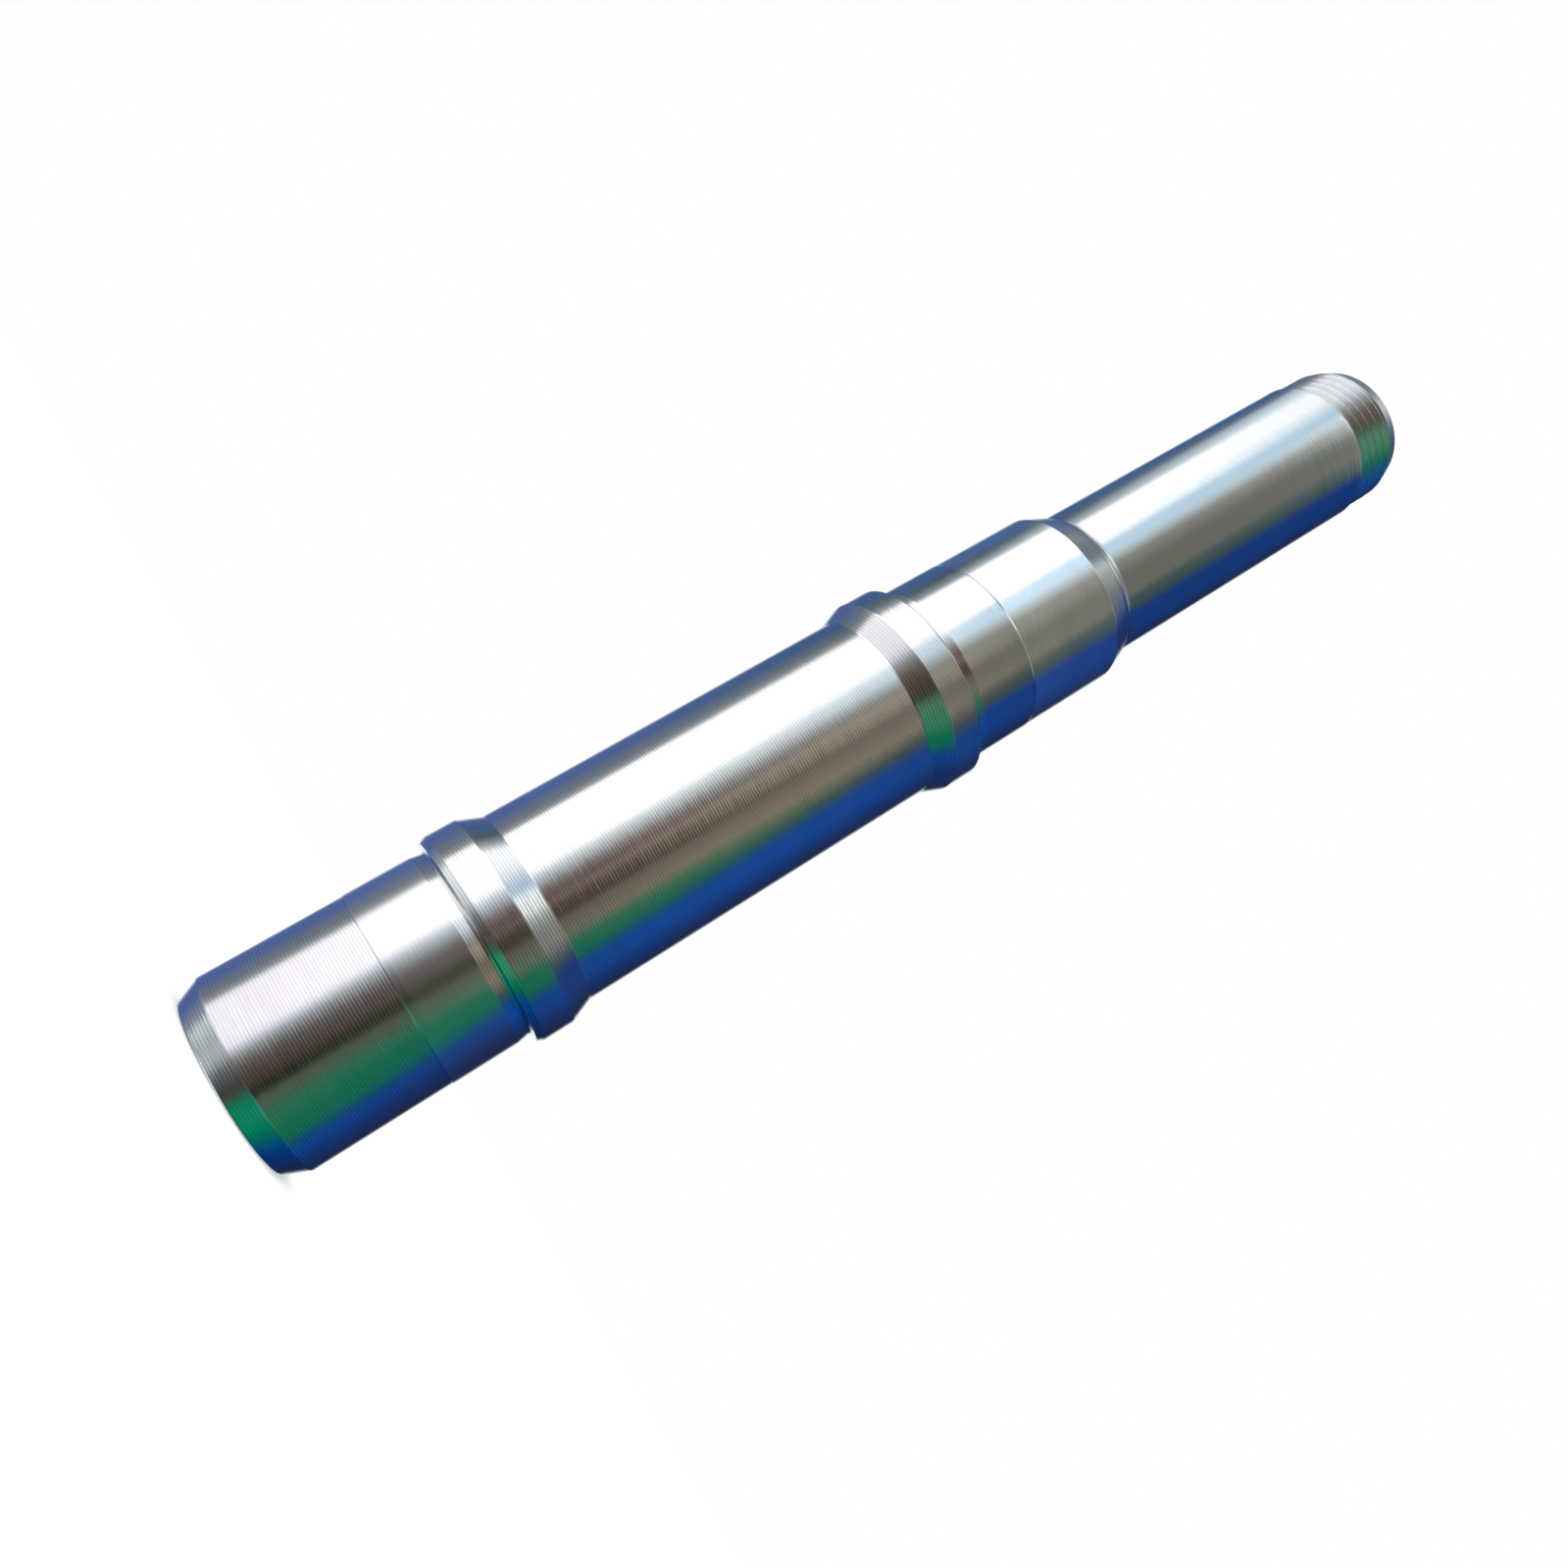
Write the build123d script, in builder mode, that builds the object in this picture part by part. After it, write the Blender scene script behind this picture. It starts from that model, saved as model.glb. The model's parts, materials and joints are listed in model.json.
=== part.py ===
"""Stepped shaft: one bar of steel, turned between centres, with two ground bearing seats.

The axis is +Z. The shaft stands on its wide end, and the origin is the middle of that end face.
From the bottom up it has a front land with a lead-in chamfer, the front bearing seat, a relief neck,
the front collar, the long body, the rear collar, a relief neck, the rear bearing seat, the rear land
with its lead-in, the hub seat, and the threaded end.
"""

from build123d import *
from math import cos, radians, sin, tan
import os

# Diameter of the two ground bearing seats, and every other step counted from it on the radius
SEAT_DIAMETER = 17.0
LAND_STEP = 0.05  # from a seat down to the land beside it, so that a bearing slides over the land
COLLAR_STEP = 0.9  # from a seat up to its collar, which the bearing's inner ring stops against
BODY_STEP = 0.05  # from a seat up to the body, which is left as turned
HUB_SEAT_STEP = 1.2  # from the rear land down to the hub seat
THREAD_STEP = 0.25  # from the hub seat down to the thread's crest, so that the hub slides over it

# Lengths along the axis, from the wide end up
FRONT_LAND_LENGTH = 13.5  # with its lead-in
SEAT_LENGTH = 5.8
FRONT_COLLAR_WIDTH = 3.2
BODY_LENGTH = 34.3  # between the feet of the two cones
REAR_COLLAR_WIDTH = 2.9
CONE_LENGTH = 2.1  # from each collar down to the body
REAR_LAND_LENGTH = 11.75  # with its lead-in
HUB_SEAT_LENGTH = 32.55  # with the fillet at its foot
THREAD_LENGTH = 6.5  # with its lead-in

# Leads and edges. Every angle is measured from the shaft's axis.
FRONT_LEAD_LENGTH = 2.0
FRONT_LEAD_ANGLE = 25.0
SEAT_LEAD_LENGTH = 0.6
COLLAR_LEAD_LENGTH = 0.6
COLLAR_LEAD_ANGLE = 25.0
COLLAR_EDGE_BREAK = 0.2  # at the rear collar, above its neck
REAR_LEAD_LENGTH = 1.9  # it runs down to the top of the fillet
THREAD_LEAD_LENGTH = 2.0
THREAD_LEAD_ANGLE = 20.0
END_ROUND_RADIUS = 0.3  # the corner round each end face

# Relief necks, which let the grinding wheel run out beside a collar
NECK_DEPTH = 0.16
NECK_RAMP_ANGLE = 10.0
NECK_FLOOR_WIDTH = 0.05
NECK_CORNER_RADIUS = 0.25

# Inner corners
CONE_FOOT_RADIUS = 0.5
HUB_SEAT_FILLET_RADIUS = 1.7
HUB_SEAT_FILLET_ARC = 45.0

# Centre drillings in both end faces, which carry the shaft in the lathe and the grinder
CENTRE_DRILL_DIAMETER = 2.5
CENTRE_DRILL_DEPTH = 5.0
CENTRE_TIP_ANGLE = 118.0
CENTRE_SINK_DIAMETER = 5.3
CENTRE_SINK_ANGLE = 60.0


def drop(length, angle):
    """How far a slope of this length along the axis comes in towards the axis."""
    return length * tan(radians(angle))


def run(height, angle):
    """How far along the axis a slope at this angle goes for this height."""
    return height / tan(radians(angle))


seat_radius = SEAT_DIAMETER / 2
land_radius = seat_radius - LAND_STEP
collar_radius = seat_radius + COLLAR_STEP
body_radius = seat_radius + BODY_STEP
hub_seat_radius = land_radius - HUB_SEAT_STEP
thread_radius = hub_seat_radius - THREAD_STEP
neck_radius = seat_radius - NECK_DEPTH
neck_ramp = run(NECK_DEPTH, NECK_RAMP_ANGLE)
neck_width = neck_ramp + NECK_FLOOR_WIDTH + NECK_CORNER_RADIUS

# Where each stretch begins, counted from the wide end
front_seat_z = FRONT_LAND_LENGTH
front_neck_z = front_seat_z + SEAT_LENGTH
front_collar_z = front_neck_z + neck_width
front_cone_z = front_collar_z + FRONT_COLLAR_WIDTH
body_z = front_cone_z + CONE_LENGTH
rear_cone_z = body_z + BODY_LENGTH
rear_collar_z = rear_cone_z + CONE_LENGTH
rear_neck_z = rear_collar_z + REAR_COLLAR_WIDTH
rear_seat_z = rear_neck_z + neck_width
rear_land_z = rear_seat_z + SEAT_LENGTH
hub_seat_z = rear_land_z + REAR_LAND_LENGTH
thread_z = hub_seat_z + HUB_SEAT_LENGTH
top_z = thread_z + THREAD_LENGTH


def centre_drilling(face_z, inward):
    """A centre drilling's half outline, from its tip out to its rim in the end face. Inward is 1 or -1."""
    drill_radius = CENTRE_DRILL_DIAMETER / 2
    sink_radius = CENTRE_SINK_DIAMETER / 2
    tip = CENTRE_DRILL_DEPTH + run(drill_radius, CENTRE_TIP_ANGLE / 2)
    sink_depth = run(sink_radius - drill_radius, CENTRE_SINK_ANGLE / 2)
    return [
        (0, face_z + inward * tip),
        (drill_radius, face_z + inward * CENTRE_DRILL_DEPTH),
        (drill_radius, face_z + inward * sink_depth),
        (sink_radius, face_z),
    ]


def relief_neck(seat_end_z, collar_z):
    """A relief neck's half outline, from the end of its seat to the foot of the collar's face."""
    towards_collar = 1 if collar_z > seat_end_z else -1
    return [
        (seat_radius, seat_end_z),
        (neck_radius, seat_end_z + towards_collar * neck_ramp),
        (neck_radius, collar_z),
    ]


front_end = [
    *centre_drilling(0, 1),
    (land_radius - drop(FRONT_LEAD_LENGTH, FRONT_LEAD_ANGLE), 0),
    (land_radius, FRONT_LEAD_LENGTH),
    (land_radius, front_seat_z),
    (seat_radius, front_seat_z + SEAT_LEAD_LENGTH),
]
front_collar = [
    *relief_neck(front_neck_z, front_collar_z),
    (collar_radius - drop(COLLAR_LEAD_LENGTH, COLLAR_LEAD_ANGLE), front_collar_z),
    (collar_radius, front_collar_z + COLLAR_LEAD_LENGTH),
    (collar_radius, front_cone_z),
]
body = [(body_radius, body_z), (body_radius, rear_cone_z)]
rear_collar = [
    (collar_radius, rear_collar_z),
    (collar_radius, rear_neck_z - COLLAR_EDGE_BREAK),
    (collar_radius - COLLAR_EDGE_BREAK, rear_neck_z),
    *reversed(relief_neck(rear_seat_z, rear_neck_z)),
]
fillet_rise = HUB_SEAT_FILLET_RADIUS * (1 - cos(radians(HUB_SEAT_FILLET_ARC)))
fillet_run = HUB_SEAT_FILLET_RADIUS * sin(radians(HUB_SEAT_FILLET_ARC))
rear_land = [
    (seat_radius, rear_land_z - SEAT_LEAD_LENGTH),
    (land_radius, rear_land_z),
    (land_radius, hub_seat_z - REAR_LEAD_LENGTH),
    (hub_seat_radius + fillet_rise, hub_seat_z),
]
threaded_end = [
    (hub_seat_radius, hub_seat_z + fillet_run),
    (hub_seat_radius, thread_z),
    (thread_radius, thread_z + THREAD_STEP),
    (thread_radius, top_z - THREAD_LEAD_LENGTH),
    (thread_radius - drop(THREAD_LEAD_LENGTH, THREAD_LEAD_ANGLE), top_z),
    *reversed(centre_drilling(top_z, -1)),
    front_end[0],
]
neck_corners = [(neck_radius, front_collar_z), (neck_radius, rear_neck_z)]
cone_feet = body
end_corners = [front_end[4], threaded_end[4]]

with BuildPart() as stepped_shaft:
    with BuildSketch(Plane.XZ) as half_section:
        with BuildLine():
            Polyline(*front_end, *front_collar, *body, *rear_collar, *rear_land)
            CenterArc(
                (hub_seat_radius + HUB_SEAT_FILLET_RADIUS, hub_seat_z + fillet_run),
                HUB_SEAT_FILLET_RADIUS,
                180,
                HUB_SEAT_FILLET_ARC,
            )
            Polyline(*threaded_end)
        make_face()
        for corners, radius in (
            (neck_corners, NECK_CORNER_RADIUS),
            (cone_feet, CONE_FOOT_RADIUS),
            (end_corners, END_ROUND_RADIUS),
        ):
            for corner in corners:
                fillet(half_section.vertices().sort_by_distance(corner)[0], radius)
    revolve(axis=Axis.Z)

stepped_shaft.part.label = "stepped_shaft"
os.makedirs("parts", exist_ok=True)
export_step(stepped_shaft.part, "parts/stepped_shaft.step")
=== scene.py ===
"""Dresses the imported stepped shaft: turned, ground and threaded steel on a plain pale floor.

All lengths are in metres and the axis of the shaft is +Z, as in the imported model.
"""

import json
import logging
import math
from collections.abc import Sequence
from dataclasses import dataclass, field
from enum import Enum

import bpy
from mathutils import Matrix, Vector


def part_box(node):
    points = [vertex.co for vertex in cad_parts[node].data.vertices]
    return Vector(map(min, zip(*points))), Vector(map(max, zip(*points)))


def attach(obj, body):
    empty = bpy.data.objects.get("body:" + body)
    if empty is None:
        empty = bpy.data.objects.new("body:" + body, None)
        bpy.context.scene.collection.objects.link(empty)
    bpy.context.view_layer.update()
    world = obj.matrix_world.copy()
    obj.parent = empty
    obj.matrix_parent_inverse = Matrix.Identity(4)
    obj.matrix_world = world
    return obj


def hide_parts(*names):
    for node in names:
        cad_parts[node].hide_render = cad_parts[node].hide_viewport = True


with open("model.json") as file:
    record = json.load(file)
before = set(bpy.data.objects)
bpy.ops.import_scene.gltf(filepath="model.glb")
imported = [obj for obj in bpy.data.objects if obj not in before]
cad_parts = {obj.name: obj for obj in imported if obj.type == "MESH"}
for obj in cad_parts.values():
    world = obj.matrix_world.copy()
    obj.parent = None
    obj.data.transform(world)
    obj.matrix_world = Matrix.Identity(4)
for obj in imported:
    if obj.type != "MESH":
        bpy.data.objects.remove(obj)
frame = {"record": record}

LOG = logging.getLogger("stepped_shaft")
MM = 0.001

BLUER = 1.012  # how much more blue than red or green bright steel sends back
QUARTER_TURN = 0.25  # of the anisotropy, which then lies along the axis
SMOOTH_ANGLE = 12.0  # edges sharper than this stay crisp, in degrees
ARC_STEPS = 8
EASE_STEPS = 3
ROUND_WALL = 0.1  # how far a normal may lean along the axis on what still counts as a round wall
HOLDING = 4  # a run longer than this many edge breaks gets a point inside each end

Point = tuple[float, float]
Colour = tuple[float, float, float]


def deselect_all() -> None:
    """Leaves object mode with nothing selected."""
    if bpy.context.object and bpy.context.object.mode != "OBJECT":
        bpy.ops.object.mode_set(mode="OBJECT")
    bpy.ops.object.select_all(action="DESELECT")


def arc(centre: Point, radius: float, start: float, sweep: float, steps: int) -> list[Point]:
    """Points along an arc of a half outline.

    Args:
        centre: Its centre, as (z, r).
        radius: Its radius.
        start: Angle of its first point, in degrees, from the direction in which r grows towards +Z.
        sweep: Angle that it covers, in degrees.
        steps: Number of runs that it is divided into.

    Returns:
        The points as (z, r), both ends among them.
    """
    z, r = centre
    angles = [math.radians(start + sweep * i / steps) for i in range(steps + 1)]
    return [(z + radius * math.sin(a), r + radius * math.cos(a)) for a in angles]


def eased(before: Point, corner: Point, after: Point, reach: float, steps: int) -> list[Point]:
    """A corner of a half outline, rounded off.

    Args:
        before: The point before the corner, as (z, r).
        corner: The corner itself.
        after: The point after it.
        reach: How far from the corner the rounding begins and ends.
        steps: Number of runs in the rounding.

    Returns:
        The points that take the corner's place.
    """
    c = Vector(corner)
    arms = [Vector(point) - c for point in (before, after)]
    reach = min(reach, *(arm.length / 3 for arm in arms))
    a, b = (c + arm.normalized() * reach for arm in arms)
    curve = []
    for i in range(steps + 1):
        t = i / steps
        p = a * (1 - t) ** 2 + c * 2 * t * (1 - t) + b * t**2
        curve.append((p.x, p.y))
    return curve


class Finish(Enum):
    """How a face of the shaft was finished. The value is the face's place among the piece's materials."""

    TURNED = 0
    FINE_TURNED = 1
    GROUND = 2
    SATIN = 3
    THREADED = 4
    FACED = 5


class Nodes:
    """Helpers that build the nodes of one tree."""

    def __init__(self, tree: bpy.types.NodeTree) -> None:
        """Keeps the tree that the nodes go into."""
        self.tree = tree

    def feed(self, node: bpy.types.Node, values: Sequence) -> bpy.types.NodeSocket:
        """Fills a node's inputs in order.

        Args:
            node: The node.
            values: Sockets to link, or plain values to set.

        Returns:
            The node's first output.
        """
        for socket, value in zip(node.inputs, values):
            if isinstance(value, bpy.types.NodeSocket):
                self.tree.links.new(value, socket)
            else:
                socket.default_value = value
        return node.outputs[0]

    def maths(self, operation: str, *values: float | bpy.types.NodeSocket) -> bpy.types.NodeSocket:
        """One sum on numbers or sockets.

        Args:
            operation: Name of the Math node's operation.
            values: Its inputs in order.

        Returns:
            The result's socket.
        """
        node = self.tree.nodes.new("ShaderNodeMath")
        node.operation = operation
        return self.feed(node, values)

    def vector(self, operation: str, *values: Vector | bpy.types.NodeSocket) -> bpy.types.NodeSocket:
        """One sum on vectors.

        Args:
            operation: Name of the Vector Math node's operation.
            values: Its inputs in order.

        Returns:
            The result's socket.
        """
        node = self.tree.nodes.new("ShaderNodeVectorMath")
        node.operation = operation
        return self.feed(node, values)

    def length(self, vector: bpy.types.NodeSocket) -> bpy.types.NodeSocket:
        """The length of a vector.

        Args:
            vector: The vector's socket.

        Returns:
            The length's socket.
        """
        node = self.tree.nodes.new("ShaderNodeVectorMath")
        node.operation = "LENGTH"
        self.feed(node, [vector])
        return node.outputs["Value"]

    def between(self, source: bpy.types.NodeSocket, low: float, high: float) -> bpy.types.NodeSocket:
        """How far a socket has come from a low value to a high one, from 0 to 1."""
        return self.feed(self.tree.nodes.new("ShaderNodeMapRange"), (source, low, high, 0.0, 1.0))

    def spread(self, source: bpy.types.NodeSocket, low: float, high: float) -> bpy.types.NodeSocket:
        """Carries a socket's 0 to 1 over to another range."""
        return self.maths("MULTIPLY_ADD", source, high - low, low)


class Steel(Nodes):
    """What the steel finishes share."""

    def __init__(self, name: str) -> None:
        """Makes an empty metal.

        Args:
            name: Name of the Blender material.
        """
        self.material = bpy.data.materials.new(name)
        self.material.use_nodes = True
        super().__init__(self.material.node_tree)
        self.shader = self.tree.nodes["Principled BSDF"]
        self.shader.inputs["Metallic"].default_value = 1.0
        self.place = self.tree.nodes.new("ShaderNodeTexCoord").outputs["Object"]
        split = self.tree.nodes.new("ShaderNodeSeparateXYZ")
        self.feed(split, [self.place])
        self.z = split.outputs["Z"]
        self.across = self.vector("MULTIPLY", self.place, Vector((1, 1, 0)))

    def noise(self, stretch: tuple[float, float, float], detail: float = 2.0) -> bpy.types.NodeSocket:
        """Noise in the object's own space.

        Args:
            stretch: How many times the noise repeats in a metre, along each axis.
            detail: Number of finer layers.

        Returns:
            A socket that runs from 0 to 1.
        """
        node = self.tree.nodes.new("ShaderNodeTexNoise")
        node.inputs["Scale"].default_value = 1.0
        node.inputs["Detail"].default_value = detail
        self.tree.links.new(self.vector("MULTIPLY", self.place, Vector(stretch)), node.inputs["Vector"])
        return node.outputs["Fac"]

    def tilt(self, direction: bpy.types.NodeSocket | Vector, slope: bpy.types.NodeSocket) -> None:
        """Tilts the surface along a direction, as cutting marks do.

        Args:
            direction: Where the tilt points.
            slope: How steep it is.
        """
        normal = self.tree.nodes.new("ShaderNodeNewGeometry").outputs["Normal"]
        lean = self.tree.nodes.new("ShaderNodeVectorMath")
        lean.operation = "SCALE"
        self.feed(lean, [direction])
        self.tree.links.new(slope, lean.inputs["Scale"])
        summed = self.vector("ADD", normal, lean.outputs[0])
        self.tree.links.new(self.vector("NORMALIZE", summed), self.shader.inputs["Normal"])

    def brush(self, roughness: bpy.types.NodeSocket, spread: float) -> None:
        """Blurs reflections along the axis more than round it, as marks that run round a bar do.

        Args:
            roughness: The roughness.
            spread: How much wider the blur is along the axis, from 0 to 1.
        """
        self.tree.links.new(roughness, self.shader.inputs["Roughness"])
        tangent = self.tree.nodes.new("ShaderNodeTangent")
        tangent.direction_type, tangent.axis = "RADIAL", "Z"
        self.tree.links.new(tangent.outputs[0], self.shader.inputs["Tangent"])
        self.shader.inputs["Anisotropic"].default_value = spread
        self.shader.inputs["Anisotropic Rotation"].default_value = QUARTER_TURN

    def tint(self, base: float, lightness: bpy.types.NodeSocket) -> None:
        """Colours the metal grey, a trace bluer than neutral.

        Args:
            base: Its reflectance.
            lightness: What the reflectance is multiplied by, near 1: random tone, and painted shade where a
                caller adds it.
        """
        grey = self.maths("MULTIPLY", lightness, base)
        mixed = self.tree.nodes.new("ShaderNodeCombineXYZ")
        self.feed(mixed, (grey, grey, self.maths("MULTIPLY", grey, BLUER)))
        self.tree.links.new(mixed.outputs[0], self.shader.inputs["Base Color"])


@dataclass(frozen=True)
class TurnedSteel:
    """Steel as the lathe's round-nosed tool leaves it: a fine scallop for every turn, with painted shade
    that darkens the colour where the scallops meet.

    The feed is a quarter coarser than the real one, so that small renders still show it.
    """

    name: str = "turned steel"
    feed: float = 0.25 * MM
    slope: float = 0.085
    base: float = 0.74
    # painted shade: how much darker the colour is painted where scallops meet, and lighter in their middles
    painted_scallop_shade: float = 0.2
    across: bool = False

    def make(self) -> bpy.types.Material:
        """Builds the material.

        Returns:
            The finished material. With across set, the marks follow one another out across an end
            face instead of along the axis.
        """
        steel = Steel(self.name)
        if self.across:
            along, direction = steel.length(steel.across), steel.vector("NORMALIZE", steel.across)
        else:
            along, direction = steel.z, Vector((0, 0, 1))
        wander = steel.spread(steel.noise((60, 60, 260)), -0.35, 0.35)
        turns = steel.maths("MULTIPLY_ADD", along, 1 / self.feed, wander)
        turn = steel.maths("FLOOR", turns)
        luck = steel.tree.nodes.new("ShaderNodeTexWhiteNoise")
        luck.noise_dimensions = "1D"
        steel.tree.links.new(turn, luck.inputs["W"])
        depth = steel.spread(luck.outputs["Value"], 0.6, 1.0)
        scallop = steel.spread(steel.maths("FRACT", turns), -self.slope, self.slope)
        scallop = steel.maths("MULTIPLY", scallop, depth)
        hairs = steel.spread(steel.noise((500, 500, 26000), 3.0), -0.08, 0.08)
        steel.tilt(direction, steel.maths("ADD", scallop, hairs))
        blotches = steel.noise((140, 140, 500), 3.0)
        # Painted shade: the colour is darkened towards each scallop's edges and lightened in its middle, so
        # the marks show as shaded ridges.
        shade_across_scallop = steel.maths("PINGPONG", steel.maths("FRACT", turns), 0.5)
        light = steel.maths(
            "MULTIPLY",
            steel.spread(blotches, 0.94, 1.05),
            steel.spread(shade_across_scallop, 1 - 0.8 * self.painted_scallop_shade, 1 + 1.2 * self.painted_scallop_shade),
        )
        steel.tint(self.base, light)
        steel.brush(steel.spread(blotches, 0.13, 0.19), 0.0 if self.across else 0.5)
        return steel.material


@dataclass(frozen=True)
class GroundSteel:
    """Steel ground smooth, with hair-fine marks round it."""

    name: str = "ground steel"
    base: float = 0.75
    roughness: float = 0.11
    brushed: float = 0.6

    def make(self) -> bpy.types.Material:
        """Builds the material.

        Returns:
            The finished material.
        """
        steel = Steel(self.name)
        hairs = steel.spread(steel.noise((260, 260, 22000), 4.0), -0.06, 0.06)
        waves = steel.spread(steel.noise((40, 40, 700), 1.0), -0.008, 0.008)
        steel.tilt(Vector((0, 0, 1)), steel.maths("ADD", hairs, waves))
        blotches = steel.noise((90, 90, 240), 4.0)
        steel.tint(self.base, steel.spread(blotches, 0.95, 1.04))
        steel.brush(steel.spread(blotches, self.roughness, self.roughness + 0.04), self.brushed)
        return steel.material


@dataclass(frozen=True)
class ThreadedSteel:
    """Steel of the cut thread, rougher down in the grooves, where painted shade also darkens its colour."""

    crest: float
    root: float
    name: str = "threaded steel"
    base: float = 0.74

    def make(self) -> bpy.types.Material:
        """Builds the material.

        Returns:
            The finished material.
        """
        steel = Steel(self.name)
        height = steel.between(steel.length(steel.across), self.root, self.crest)
        grime = steel.spread(steel.noise((300, 300, 900), 3.0), 0.92, 1.06)
        # Painted shade: the colour darkens from crest to root of the groove; grime adds tone that varies at
        # random.
        steel.tint(self.base, steel.maths("MULTIPLY", steel.spread(height, 0.86, 1.0), grime))
        steel.tilt(Vector((0, 0, 1)), steel.spread(steel.noise((400, 400, 12000), 3.0), -0.08, 0.08))
        steel.brush(steel.spread(height, 0.3, 0.2), 0.4)
        return steel.material


@dataclass
class Thread:
    """The cut thread of the end: a rounded V groove that winds up the blank and runs out at its foot.

    Widths without a unit are shares of the pitch.
    """

    start: float
    top: float
    major: float
    pitch: float = 1.0 * MM
    phase: float = 0.6
    groove: float = 0.97
    flank_angle: float = 51.0
    root_round: float = 0.03
    crest_round: float = 0.025
    rows_in_a_turn: int = 36
    run_out: float = 0.8

    @property
    def depth(self) -> float:
        """Depth of the full groove."""
        return self.cut(0.0) * self.pitch

    def cut(self, off: float) -> float:
        """Depth of the groove at a distance from its middle, both as shares of the pitch."""
        across = self.groove / 2 - math.hypot(off, self.root_round)
        flank = across / math.tan(math.radians(self.flank_angle))
        return (flank + math.hypot(flank, self.crest_round)) / 2

    def rows(self, low: float, high: float) -> list[float]:
        """Heights of the fine rings that the groove needs.

        Args:
            low: Height of the first one.
            high: Height of the last one.

        Returns:
            The heights in order.
        """
        count = max(1, round((high - low) / self.pitch * self.rows_in_a_turn))
        return [low + (high - low) * i / count for i in range(count + 1)]

    def radius_at(self, z: float, angle: float) -> float:
        """Radius of the grooved surface.

        Args:
            z: Height.
            angle: Angle round the axis, in radians.

        Returns:
            The radius that the cutter leaves there.
        """
        shift = angle / math.tau + self.phase
        turn = z / self.pitch - shift
        middle = (round(turn) + shift) * self.pitch
        sunk = min(1.0, max(0.0, (middle - self.start) / (self.run_out * self.pitch) + 0.5))
        bite = self.cut(abs(turn - round(turn))) * self.pitch - (1 - sunk) * self.depth
        return self.major - max(0.0, bite)

    def chase(self, shaft: bpy.types.Object) -> None:
        """Moves the blank's own fine rings in to where the cutter leaves them.

        Args:
            shaft: The turned shaft, whose threaded end is still plain.
        """
        for vertex in shaft.data.vertices:
            x, y, z = vertex.co
            radius = math.hypot(x, y)
            if self.start <= z <= self.top and radius > self.major - 1.5 * self.depth:
                target = min(radius, self.radius_at(z, math.atan2(y, x)))
                vertex.co.x, vertex.co.y = x * target / radius, y * target / radius
        shaft.data.update()


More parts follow.
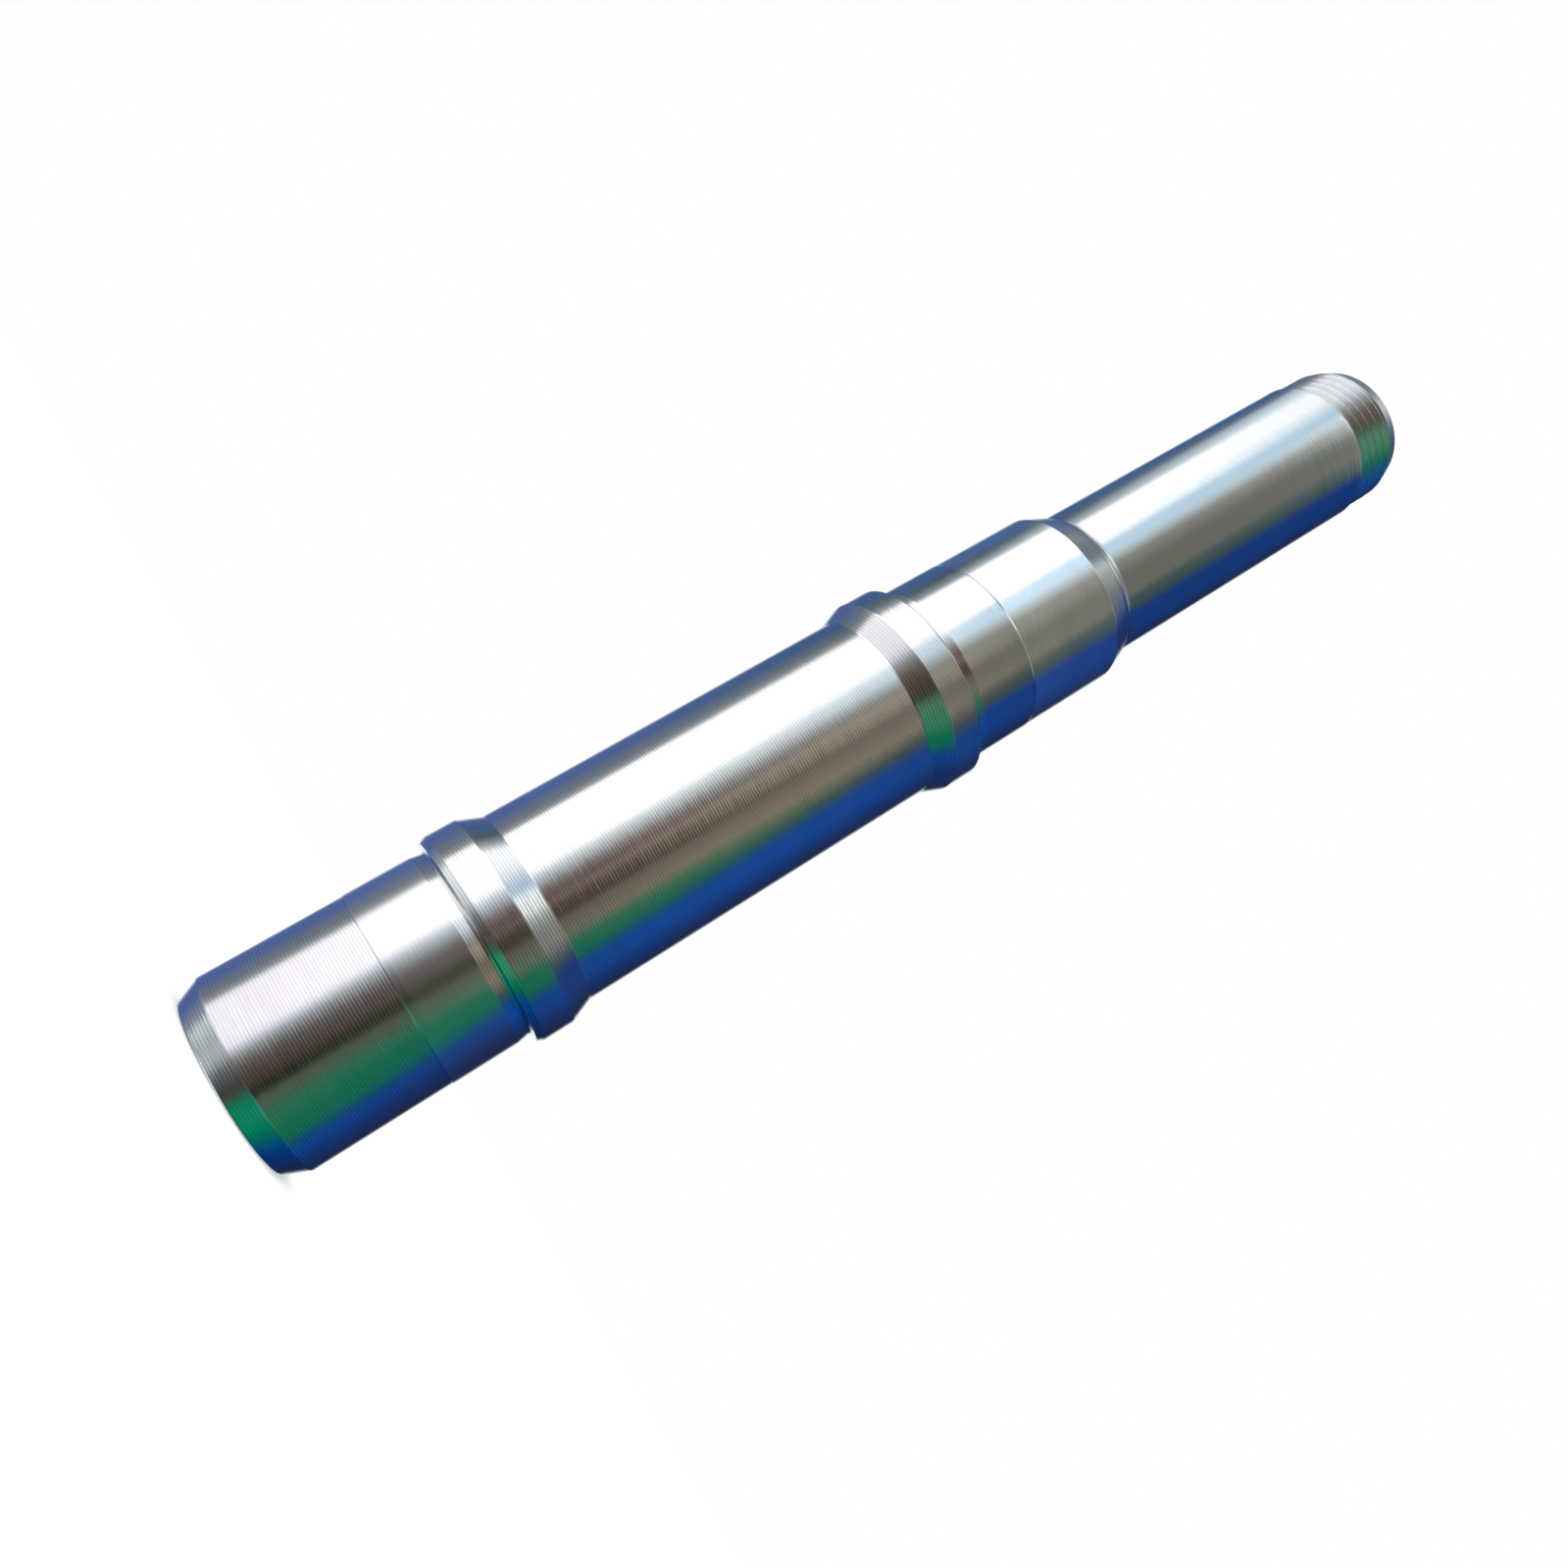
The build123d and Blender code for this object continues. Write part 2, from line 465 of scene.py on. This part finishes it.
@dataclass
class Shaft:
    """The whole shaft, turned from one bar between centres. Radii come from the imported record's mounts."""

    seat: float
    hub_seat: float
    thread_major: float
    collar: float
    length: float
    segments: int = 144
    land_step: float = 0.05 * MM
    body_step: float = 0.05 * MM
    front_land: float = 13.5 * MM
    seat_length: float = 5.8 * MM
    front_collar: float = 3.2 * MM
    body: float = 34.3 * MM
    rear_collar: float = 2.9 * MM
    cone: float = 2.1 * MM
    rear_land: float = 11.75 * MM
    hub_seat_length: float = 32.55 * MM
    front_lead: float = 2.0 * MM
    front_lead_angle: float = 25.0
    seat_lead: float = 0.6 * MM
    lead_edge: float = 0.1 * MM
    collar_lead: float = 0.6 * MM
    collar_lead_angle: float = 25.0
    collar_break: float = 0.2 * MM
    rear_lead: float = 1.9 * MM
    thread_step: float = 0.25 * MM
    thread_lead: float = 2.0 * MM
    thread_lead_angle: float = 20.0
    end_round: float = 0.3 * MM
    neck_depth: float = 0.16 * MM
    neck_ramp_angle: float = 10.0
    neck_floor: float = 0.05 * MM
    neck_corner: float = 0.25 * MM
    cone_foot: float = 0.5 * MM
    fillet: float = 1.7 * MM
    fillet_arc: float = 45.0
    drill: float = 1.25 * MM
    drill_depth: float = 5.0 * MM
    drill_tip_angle: float = 59.0
    sink: float = 2.65 * MM
    sink_angle: float = 30.0
    edge_break: float = 0.05 * MM
    name: str = "shaft_turned"
    bands: dict[Point, Finish] = field(init=False)

    def __post_init__(self) -> None:
        """Works out where each stretch begins."""
        neck = self.neck_ramp + self.neck_floor + self.neck_corner
        self.front_neck_z = self.front_land + self.seat_length
        self.front_collar_z = self.front_neck_z + neck
        self.front_cone_z = self.front_collar_z + self.front_collar
        self.body_z = self.front_cone_z + self.cone
        self.rear_cone_z = self.body_z + self.body
        self.rear_collar_z = self.rear_cone_z + self.cone
        self.rear_neck_z = self.rear_collar_z + self.rear_collar
        self.rear_seat_z = self.rear_neck_z + neck
        self.rear_land_z = self.rear_seat_z + self.seat_length
        self.hub_seat_z = self.rear_land_z + self.rear_land
        self.thread_z = self.hub_seat_z + self.hub_seat_length
        self.fillet_end_z = self.hub_seat_z + self.fillet * math.sin(math.radians(self.fillet_arc))
        self.thread = Thread(self.thread_z + self.thread_step, self.length, self.thread_major)
        self.bands = {
            (self.front_land + self.lead_edge, self.front_neck_z): Finish.SATIN,
            (self.rear_seat_z, self.rear_land_z - 2 * self.lead_edge): Finish.GROUND,
            (self.rear_land_z, self.hub_seat_z - self.rear_lead): Finish.FINE_TURNED,
            (self.fillet_end_z, self.thread_z): Finish.GROUND,
            (self.thread.start, self.length - self.edge_break): Finish.THREADED,
        }

    @property
    def neck_ramp(self) -> float:
        """Length of the ramp that leads from a seat down into its neck."""
        return self.neck_depth / math.tan(math.radians(self.neck_ramp_angle))

    def drilling(self, face_z: float, inward: int) -> list[Point]:
        """A centre drilling's half outline from the drill's bottom edge out to its rim.

        Args:
            face_z: Height of the end face.
            inward: 1 where the drilling goes up from the face, -1 where it goes down.

        Returns:
            The points as (z, r).
        """
        sink_depth = (self.sink - self.drill) / math.tan(math.radians(self.sink_angle))
        return [
            (face_z + inward * self.drill_depth, self.drill),
            (face_z + inward * sink_depth, self.drill),
            (face_z, self.sink),
        ]

    def outline(self) -> list[Point]:
        """The half outline, from one drilling's bottom round to the other's.

        Returns:
            The points as (z, r), with every edge eased and the blank of the thread still plain.
        """
        land = self.seat - self.land_step
        body = self.seat + self.body_step
        edge = land + 0.8 * self.land_step
        neck = self.seat - self.neck_depth
        face = land - self.front_lead * math.tan(math.radians(self.front_lead_angle))
        collar_edge = self.collar - self.collar_lead * math.tan(math.radians(self.collar_lead_angle))
        corner = self.neck_corner
        fillet_centre = (self.fillet_end_z, self.hub_seat + self.fillet)
        front_corner = arc((self.front_collar_z - corner, neck + corner), corner, 180, -90, ARC_STEPS)
        rear_corner = arc((self.rear_neck_z + corner, neck + corner), corner, 270, -90, ARC_STEPS)
        fillet = arc(fillet_centre, self.fillet, 180 + self.fillet_arc, -self.fillet_arc, ARC_STEPS)
        thread_edge = self.thread_major - self.thread_lead * math.tan(math.radians(self.thread_lead_angle))
        lead_z = self.length - self.thread_lead
        ease, end, foot = self.edge_break, self.end_round, self.cone_foot / 5
        corners = [
            *((z, r, ease) for z, r in self.drilling(0.0, 1)),
            (0.0, face, end * math.tan(math.radians((90 - self.front_lead_angle) / 2))),
            (self.front_lead, land, ease),
            (self.front_land, land, 0),
            (self.front_land + self.lead_edge, edge, 0),
            (self.front_land + self.seat_lead, self.seat, ease),
            (self.front_neck_z, self.seat, ease),
            (self.front_neck_z + self.neck_ramp, neck, ease),
            *((z, r, 0) for z, r in front_corner),
            (self.front_collar_z, collar_edge, ease),
            (self.front_collar_z + self.collar_lead, self.collar, ease),
            (self.front_cone_z, self.collar, ease),
            (self.body_z, body, foot),
            (self.rear_cone_z, body, foot),
            (self.rear_collar_z, self.collar, ease),
            (self.rear_neck_z - self.collar_break, self.collar, ease),
            (self.rear_neck_z, self.collar - self.collar_break, ease),
            *((z, r, 0) for z, r in rear_corner),
            (self.rear_seat_z - self.neck_ramp, neck, ease),
            (self.rear_seat_z, self.seat, ease),
            (self.rear_land_z - 2 * self.lead_edge, self.seat, ease),
            (self.rear_land_z, land, 0),
            (self.hub_seat_z - self.rear_lead, land, ease),
            *((z, r, 0) for z, r in fillet),
            (self.thread_z, self.hub_seat, ease),
            (self.thread_z + self.thread_step, self.thread_major, 0),
            (lead_z, self.thread_major, 0),
            (self.length, thread_edge, end * math.tan(math.radians((90 - self.thread_lead_angle) / 2))),
            *((z, r, ease) for z, r in reversed(self.drilling(self.length, -1))),
        ]
        points: list[Point] = []
        for i, (z, r, reach) in enumerate(corners):
            if reach and 0 < i < len(corners) - 1:
                steps = ARC_STEPS if reach > 2 * ease else EASE_STEPS
                points += eased(corners[i - 1][:2], (z, r), corners[i + 1][:2], reach, steps)
            else:
                points.append((z, r))
        return self.divided(points)

    def divided(self, points: list[Point]) -> list[Point]:
        """Divides the long runs of a half outline.

        Args:
            points: The points as (z, r).

        Returns:
            The points with the fine rows that the groove needs among them. Every other long run has a
            point just inside each of its ends, which keeps its smooth shading straight.
        """
        dense: list[Point] = [points[0]]
        for start, end in zip(points, points[1:]):
            a, b = Vector(start), Vector(end)
            run = (b - a).length
            threaded = a.x >= self.thread.start - self.edge_break / 10 and min(a.y, b.y) > 1.5 * self.sink
            shares: list[float] = []
            if threaded and b.x > a.x + self.edge_break:
                shares = [(z - a.x) / (b.x - a.x) for z in self.thread.rows(a.x, b.x)[1:-1]]
            elif run > HOLDING * self.edge_break:
                shares = [self.edge_break / run, 1 - self.edge_break / run]
            dense += [tuple(a.lerp(b, share)) for share in shares]
            dense.append(end)
        return dense

    def turn(self) -> bpy.types.Object:
        """Draws the bar out ring by ring, each ring sized to its place on the outline.

        Returns:
            The plain turned shaft, closed at both drillings.
        """
        outline = self.outline()
        z, r = outline[0]
        deselect_all()
        bpy.ops.mesh.primitive_circle_add(vertices=self.segments, radius=r, location=(0, 0, z))
        shaft = bpy.context.object
        shaft.name = shaft.data.name = self.name
        bpy.ops.object.transform_apply(location=True, rotation=True, scale=True)
        bpy.ops.object.mode_set(mode="EDIT")
        bpy.ops.mesh.select_all(action="SELECT")
        for next_z, next_r in outline[1:]:
            self.draw_ring((0, 0, next_z - z), next_r / r, next_z)
            z, r = next_z, next_r
        tip = self.drill / math.tan(math.radians(self.drill_tip_angle))
        self.draw_tip(-tip)
        bpy.ops.object.mode_set(mode="OBJECT")
        bpy.ops.object.mode_set(mode="EDIT")
        bpy.ops.mesh.select_all(action="DESELECT")
        bpy.ops.mesh.select_mode(type="VERT")
        bpy.ops.object.mode_set(mode="OBJECT")
        for i in range(self.segments):
            shaft.data.vertices[i].select = True
        bpy.ops.object.mode_set(mode="EDIT")
        self.draw_tip(tip)
        bpy.ops.mesh.select_all(action="SELECT")
        bpy.ops.mesh.normals_make_consistent(inside=False)
        bpy.ops.object.mode_set(mode="OBJECT")
        return shaft

    def draw_ring(self, shift: Sequence[float], scale: float, height: float) -> None:
        """Extrudes the open ring and sizes it about the axis.

        Args:
            shift: How far the new ring lies from the last one.
            scale: How many times larger it is.
            height: Its height.
        """
        bpy.ops.mesh.extrude_region_move(TRANSFORM_OT_translate={"value": tuple(shift)})
        if abs(scale - 1) > 1e-9:
            bpy.ops.transform.resize(value=(scale, scale, 1), center_override=(0, 0, height))

    def draw_tip(self, rise: float) -> None:
        """Closes the open ring with the drill's cone."""
        bpy.ops.mesh.extrude_region_move(TRANSFORM_OT_translate={"value": (0, 0, rise)})
        bpy.ops.mesh.merge(type="CENTER")

    def finish_of(self, face: bpy.types.MeshPolygon) -> Finish:
        """Chooses a face's finish by its place.

        Args:
            face: The face.

        Returns:
            Its finish.
        """
        x, y, z = face.center
        radius = math.hypot(x, y)
        if z < self.edge_break or z > self.length - self.edge_break or radius < self.sink:
            return Finish.FACED
        for (low, high), finish in self.bands.items():
            if low < z < high and (abs(face.normal.z) < ROUND_WALL or finish is Finish.THREADED):
                return finish
        return Finish.TURNED

    def dress(self, shaft: bpy.types.Object) -> None:
        """Gives every face its finish and shades the round surfaces smooth.

        Args:
            shaft: The finished mesh.
        """
        for material in (
            TurnedSteel().make(),
            TurnedSteel(name="fine turned steel", slope=0.04, base=0.92, painted_scallop_shade=0.1).make(),
            GroundSteel().make(),
            GroundSteel(name="satin ground steel", roughness=0.17, brushed=0.5).make(),
            ThreadedSteel(self.thread_major, self.thread_major - self.thread.depth).make(),
            TurnedSteel(name="faced steel", feed=0.15 * MM, slope=0.1, across=True).make(),
        ):
            shaft.data.materials.append(material)
        for face in shaft.data.polygons:
            face.material_index = self.finish_of(face).value
        bpy.ops.object.shade_smooth_by_angle(angle=math.radians(SMOOTH_ANGLE))

    def build(self) -> bpy.types.Object:
        """Makes the finished piece.

        Returns:
            The piece, at the origin, with its place in its mesh.
        """
        shaft = self.turn()
        self.thread.chase(shaft)
        self.dress(shaft)
        return shaft


@dataclass
class Surroundings:
    """What shows in the bright steel, and in nothing else.

    Each row is one height above the horizon, in degrees, with (bearing, colour) pairs. A bearing is
    counted in degrees from -Y towards -X. The rows meet in one colour behind the shaft. They were
    fitted until the steel looked right from the camera, so they aren't a real room, and what the
    other sides mirror is invented. The shape and the materials don't depend on them.
    """

    rows: dict[float, list[tuple[float, Colour]]]
    behind: Colour

    def make(self) -> None:
        """Sets the world: plain white, and the rows where polished metal mirrors it."""
        world = bpy.data.worlds.new("studio")
        bpy.context.scene.world = world
        world.use_nodes = True
        tree = world.node_tree
        tree.nodes.clear()
        nodes = Nodes(tree)
        split = tree.nodes.new("ShaderNodeSeparateXYZ")
        nodes.feed(split, [tree.nodes.new("ShaderNodeTexCoord").outputs["Generated"]])
        x, y, z = split.outputs
        bearing = nodes.maths("ARCTAN2", nodes.maths("MULTIPLY", x, -1.0), nodes.maths("MULTIPLY", y, -1.0))
        across = nodes.maths("MULTIPLY_ADD", bearing, 1 / math.tau, 0.5)
        height = nodes.maths("MULTIPLY", nodes.maths("ARCSINE", z), 180 / math.pi)
        levels = sorted(self.rows)
        mixed = self.ramp(tree, across, self.rows[levels[0]])
        for below, level in zip(levels, levels[1:]):
            mix = tree.nodes.new("ShaderNodeMix")
            mix.data_type = "RGBA"
            tree.links.new(nodes.between(height, below, level), mix.inputs["Factor"])
            tree.links.new(mixed, mix.inputs[6])
            tree.links.new(self.ramp(tree, across, self.rows[level]), mix.inputs[7])
            mixed = mix.outputs[2]
        plain, mirrored, choice = (
            tree.nodes.new(kind)
            for kind in ("ShaderNodeBackground", "ShaderNodeBackground", "ShaderNodeMixShader")
        )
        sight = tree.nodes.new("ShaderNodeLightPath").outputs
        plain.inputs["Color"].default_value = (1, 1, 1, 1)
        tree.links.new(
            nodes.maths("MULTIPLY_ADD", sight["Is Camera Ray"], -0.3, 1.3), plain.inputs["Strength"]
        )
        tree.links.new(mixed, mirrored.inputs["Color"])
        shown = nodes.feed(choice, (sight["Is Glossy Ray"], plain.outputs[0], mirrored.outputs[0]))
        tree.links.new(shown, tree.nodes.new("ShaderNodeOutputWorld").inputs["Surface"])

    def ramp(
        self,
        tree: bpy.types.NodeTree,
        across: bpy.types.NodeSocket,
        stops: list[tuple[float, Colour]],
    ) -> bpy.types.NodeSocket:
        """A colour for each bearing.

        Args:
            tree: The world's nodes.
            across: The bearing, from 0 at -180 degrees to 1 at 180.
            stops: Bearings in degrees with their colours.

        Returns:
            The colour's socket.
        """
        node = tree.nodes.new("ShaderNodeValToRGB")
        elements = node.color_ramp.elements
        while len(elements) > 1:
            elements.remove(elements[-1])
        elements[0].position = 0.0
        elements[0].color = (*self.behind, 1.0)
        first, *_, last = sorted(stops)
        left = [(-168, self.behind), (-154, first[1])]
        right = [(154, last[1]), (168, self.behind)]
        for bearing, colour in left + sorted(stops) + right:
            elements.new(bearing / 360 + 0.5).color = (*colour, 1.0)
        tree.links.new(across, node.inputs[0])
        return node.outputs[0]


@dataclass
class Studio:
    """The floor, the soft lights and the camera."""

    distance: float = 104.4 * MM
    camera_height: float = 14.29 * MM
    heading: float = 0.93
    rise: float = 18.64
    roll: float = 59.11
    lens: float = 29.11
    floor_size: float = 6.0

    def make(self) -> None:
        """Builds all of it."""
        self.make_floor()
        self.make_light("soft light left", (-0.9, -0.5, 1.1))
        self.make_light("soft light right", (0.9, -0.3, 1.1))
        self.make_camera()

    def make_floor(self) -> None:
        """Lays the plain pale floor under the shaft."""
        deselect_all()
        bpy.ops.mesh.primitive_plane_add(size=self.floor_size, location=(0, 0, 0))
        floor = bpy.context.object
        floor.name = "floor"
        paint = bpy.data.materials.new("pale floor")
        paint.use_nodes = True
        shader = paint.node_tree.nodes["Principled BSDF"]
        shader.inputs["Base Color"].default_value = (0.95, 0.95, 0.95, 1)
        shader.inputs["Roughness"].default_value = 0.9
        shader.inputs["Specular IOR Level"].default_value = 0.0
        floor.data.materials.append(paint)
        floor.visible_glossy = False

    def make_light(self, name: str, place: Sequence[float]) -> None:
        """Hangs one large soft light that faces the shaft and doesn't show in the steel.

        Args:
            name: Its name.
            place: Where it hangs.
        """
        deselect_all()
        bpy.ops.object.light_add(type="AREA", location=tuple(place))
        light = bpy.context.object
        light.name = name
        light.data.shape = "DISK"
        light.data.size = 1.0
        light.data.energy = 6.0
        light.rotation_euler = (-Vector(place)).to_track_quat("-Z", "Y").to_euler()
        light.visible_glossy = False

    def make_camera(self) -> None:
        """Places the camera in front of the shaft, near its foot, rolled on its side."""
        deselect_all()
        bpy.ops.object.camera_add(location=(0, -self.distance, self.camera_height))
        camera = bpy.context.object
        camera.data.sensor_width = 36.0
        camera.data.lens = self.lens
        camera.data.clip_start = 0.005
        turned = (
            Matrix.Rotation(math.radians(-self.heading), 3, "Z")
            @ Matrix.Rotation(math.radians(90 + self.rise), 3, "X")
            @ Matrix.Rotation(math.radians(self.roll), 3, "Z")
        )
        camera.rotation_euler = turned.to_euler()
        bpy.context.scene.camera = camera


NAVY: Colour = (0.01, 0.02, 0.07)
DUSK: Colour = (0.0, 0.04, 0.22)
BLUE: Colour = (0.0, 0.07, 0.38)
TEAL: Colour = (0.0, 0.1, 0.15)
GREEN: Colour = (0.0, 0.19, 0.09)
EMERALD: Colour = (0.0, 0.32, 0.17)
LEAF: Colour = (0.0, 0.15, 0.09)
FERN: Colour = (0.09, 0.32, 0.18)
MOSS: Colour = (0.08, 0.11, 0.07)
PINE: Colour = (0.04, 0.08, 0.08)
SPRUCE: Colour = (0.08, 0.13, 0.13)
SOOT: Colour = (0.0, 0.0, 0.0)
COAL: Colour = (0.06, 0.06, 0.06)
RUST: Colour = (0.05, 0.02, 0.01)
UMBER: Colour = (0.09, 0.06, 0.05)
SIENNA: Colour = (0.12, 0.05, 0.04)
COPPER: Colour = (0.24, 0.13, 0.1)
BARK: Colour = (0.19, 0.14, 0.11)
TAWNY: Colour = (0.24, 0.19, 0.14)
SAND: Colour = (0.36, 0.28, 0.18)
CLAY: Colour = (0.46, 0.4, 0.28)
WHEAT: Colour = (0.52, 0.46, 0.35)
OLIVE: Colour = (0.16, 0.17, 0.14)
ASH: Colour = (0.27, 0.28, 0.25)
STONE: Colour = (0.35, 0.36, 0.33)
DOVE: Colour = (0.45, 0.45, 0.44)
SMOKE: Colour = (0.5, 0.6, 0.75)
SILVER: Colour = (0.52, 0.58, 0.57)
HAZE: Colour = (0.62, 0.68, 0.8)
LAGOON: Colour = (0.55, 0.76, 0.88)
SKY: Colour = (0.64, 0.88, 1.05)
PEARL: Colour = (0.95, 1.04, 1.06)
CLOUD: Colour = (1.16, 1.25, 1.28)
WINDOW: Colour = (1.7, 1.7, 1.7)
ORCHID: Colour = (0.95, 0.9, 1.08)
LILAC: Colour = (1.25, 1.19, 1.27)
PLUM: Colour = (0.06, 0.06, 0.1)
SLATE: Colour = (0.33, 0.38, 0.4)
EAVES: Colour = (0.19, 0.23, 0.26)
DENIM: Colour = (0.1, 0.16, 0.4)
MARINE: Colour = (0.06, 0.13, 0.3)

BELOW_HORIZON: list[tuple[float, Colour]] = [
    (-146, NAVY), (-115, DUSK), (-95, BLUE), (-84, TEAL), (-76, GREEN), (-40, GREEN), (-32, MOSS),
    (-23, MOSS), (-18, SOOT), (-12, SOOT), (-6, RUST), (13, UMBER), (20, OLIVE), (25, STONE),
    (29, HAZE), (36, LILAC), (90, LILAC), (96, SLATE), (106, EAVES), (130, DENIM),
]  # fmt: skip
ABOVE_HORIZON: list[tuple[float, Colour]] = [
    (-146, NAVY), (-118, DUSK), (-98, BLUE), (-84, BLUE), (-75, TEAL), (-66, GREEN), (-53, GREEN),
    (-41, TAWNY), (-26, BARK), (-20, RUST), (-10, RUST), (-3, COPPER), (5, SIENNA), (14, COPPER),
    (22, SILVER), (29, PEARL), (36, WINDOW), (90, WINDOW), (95, SLATE), (106, EAVES), (130, DENIM),
]  # fmt: skip
OVERHEAD: list[tuple[float, Colour]] = [
    (-140, NAVY), (-112, DUSK), (-92, MARINE), (-74, EAVES), (-40, ASH), (-8, STONE), (8, SILVER),
    (24, SILVER), (40, EAVES), (112, EAVES), (134, MARINE),
]  # fmt: skip
SURROUNDINGS = Surroundings(
    {
        -70.0: [
            (-146, NAVY), (-118, DUSK), (-100, TEAL), (-86, GREEN), (-30, GREEN), (-18, MOSS), (0, COAL),
            (20, EAVES), (36, SILVER), (48, PEARL), (62, WINDOW), (98, WINDOW), (108, SLATE), (130, DENIM),
        ],
        -52.0: [
            (-146, NAVY), (-122, DUSK), (-104, TEAL), (-90, GREEN), (-64, EMERALD), (-30, EMERALD),
            (-20, GREEN), (-8, COAL), (30, COAL), (37, EAVES), (44, SLATE), (92, SLATE), (104, EAVES),
            (130, DENIM),
        ],
        -34.0: [
            (-146, NAVY), (-112, DUSK), (-90, BLUE), (-76, TEAL), (-60, GREEN), (-45, FERN), (-28, FERN),
            (-17, MOSS), (-4, BARK), (8, BARK), (19, STONE), (29, SILVER), (40, PEARL), (52, CLOUD),
            (92, CLOUD), (104, SLATE), (130, DENIM),
        ],
        -20.0: [
            (-146, NAVY), (-112, DUSK), (-88, BLUE), (-76, TEAL), (-66, GREEN), (-54, FERN), (-30, FERN),
            (-18, MOSS), (-2, UMBER), (14, BARK), (30, STONE), (38, HAZE), (48, PEARL), (88, PEARL),
            (98, SILVER), (108, SLATE), (130, DENIM),
        ],
        -9.0: BELOW_HORIZON,
        -3.0: BELOW_HORIZON,
        1.5: [
            (-146, NAVY), (-105, NAVY), (-88, DUSK), (-76, TEAL), (-64, LEAF), (-34, LEAF), (-22, MOSS),
            (-12, MOSS), (-4, SPRUCE), (6, EAVES), (13, SLATE), (19, SMOKE), (28, HAZE), (34, PEARL),
            (42, WINDOW), (84, WINDOW), (95, SLATE), (106, EAVES), (130, DENIM),
        ],
        6.0: ABOVE_HORIZON,
        11.0: ABOVE_HORIZON,
        22.0: [
            (-146, NAVY), (-118, DUSK), (-98, BLUE), (-80, BLUE), (-66, PLUM), (-56, TAWNY), (-46, SAND),
            (-30, TAWNY), (-22, TAWNY), (-14, CLAY), (-4, WHEAT), (4, STONE), (11, SILVER), (19, PEARL),
            (29, CLOUD), (36, WINDOW), (88, WINDOW), (95, SLATE), (106, EAVES), (126, MARINE),
        ],
        32.0: [
            (-146, NAVY), (-112, DUSK), (-80, DUSK), (-70, PINE), (-58, PINE), (-47, OLIVE), (-20, OLIVE),
            (2, ASH), (11, SILVER), (20, SKY), (33, SKY), (43, WINDOW), (86, WINDOW), (95, SLATE),
            (103, EAVES), (112, PINE), (126, MARINE),
        ],
        47.0: [
            (-146, NAVY), (-112, DUSK), (-86, DUSK), (-72, PINE), (-58, SPRUCE), (-46, OLIVE), (-14, OLIVE),
            (3, ASH), (12, SILVER), (20, LAGOON), (42, SKY), (52, PEARL), (60, CLOUD), (84, CLOUD),
            (98, PEARL), (106, SKY), (113, HAZE), (122, EAVES), (138, MARINE),
        ],
        49.5: [
            (-146, NAVY), (-114, DUSK), (-98, DUSK), (-90, DENIM), (-80, SLATE), (-68, DOVE), (-30, STONE),
            (-18, SILVER), (-8, PEARL), (0, WINDOW), (20, WINDOW), (31, LAGOON), (46, HAZE), (58, ORCHID),
            (84, LILAC), (94, SLATE), (112, EAVES), (130, DENIM),
        ],
        65.0: OVERHEAD,
        76.0: OVERHEAD,
        88.0: [(-90, PEARL), (90, PEARL)],
    },
    behind=PEARL,
)  # fmt: skip


def corners(bounds: tuple[Vector, Vector]) -> list[list[float]]:
    """A box's two corners as plain lists of numbers."""
    return [[float(value) for value in corner] for corner in bounds]


def main(model: dict) -> None:
    """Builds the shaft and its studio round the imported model.
    """
    logging.basicConfig(level=logging.INFO, format="%(message)s")
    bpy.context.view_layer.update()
    bpy.context.scene.view_settings.view_transform = "Standard"
    radii = {
        mount["name"]: mount["dims"]["r_mm"] * MM
        for mount in model["record"]["mounts"]
        if mount["kind"] == "pin"
    }
    _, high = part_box("stepped_shaft")
    shaft = Shaft(
        seat=radii["front_seat"],
        hub_seat=radii["hub_seat"],
        thread_major=radii["thread"],
        collar=high.x,
        length=high.z,
    ).build()
    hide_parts("stepped_shaft")
    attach(shaft, "root")
    LOG.info("%s: %d faces", shaft.name, len(shaft.data.polygons))
    SURROUNDINGS.make()
    Studio().make()
    LOG.info("studio: floor, lights and camera")


if __name__ == "__main__":
    main(frame)
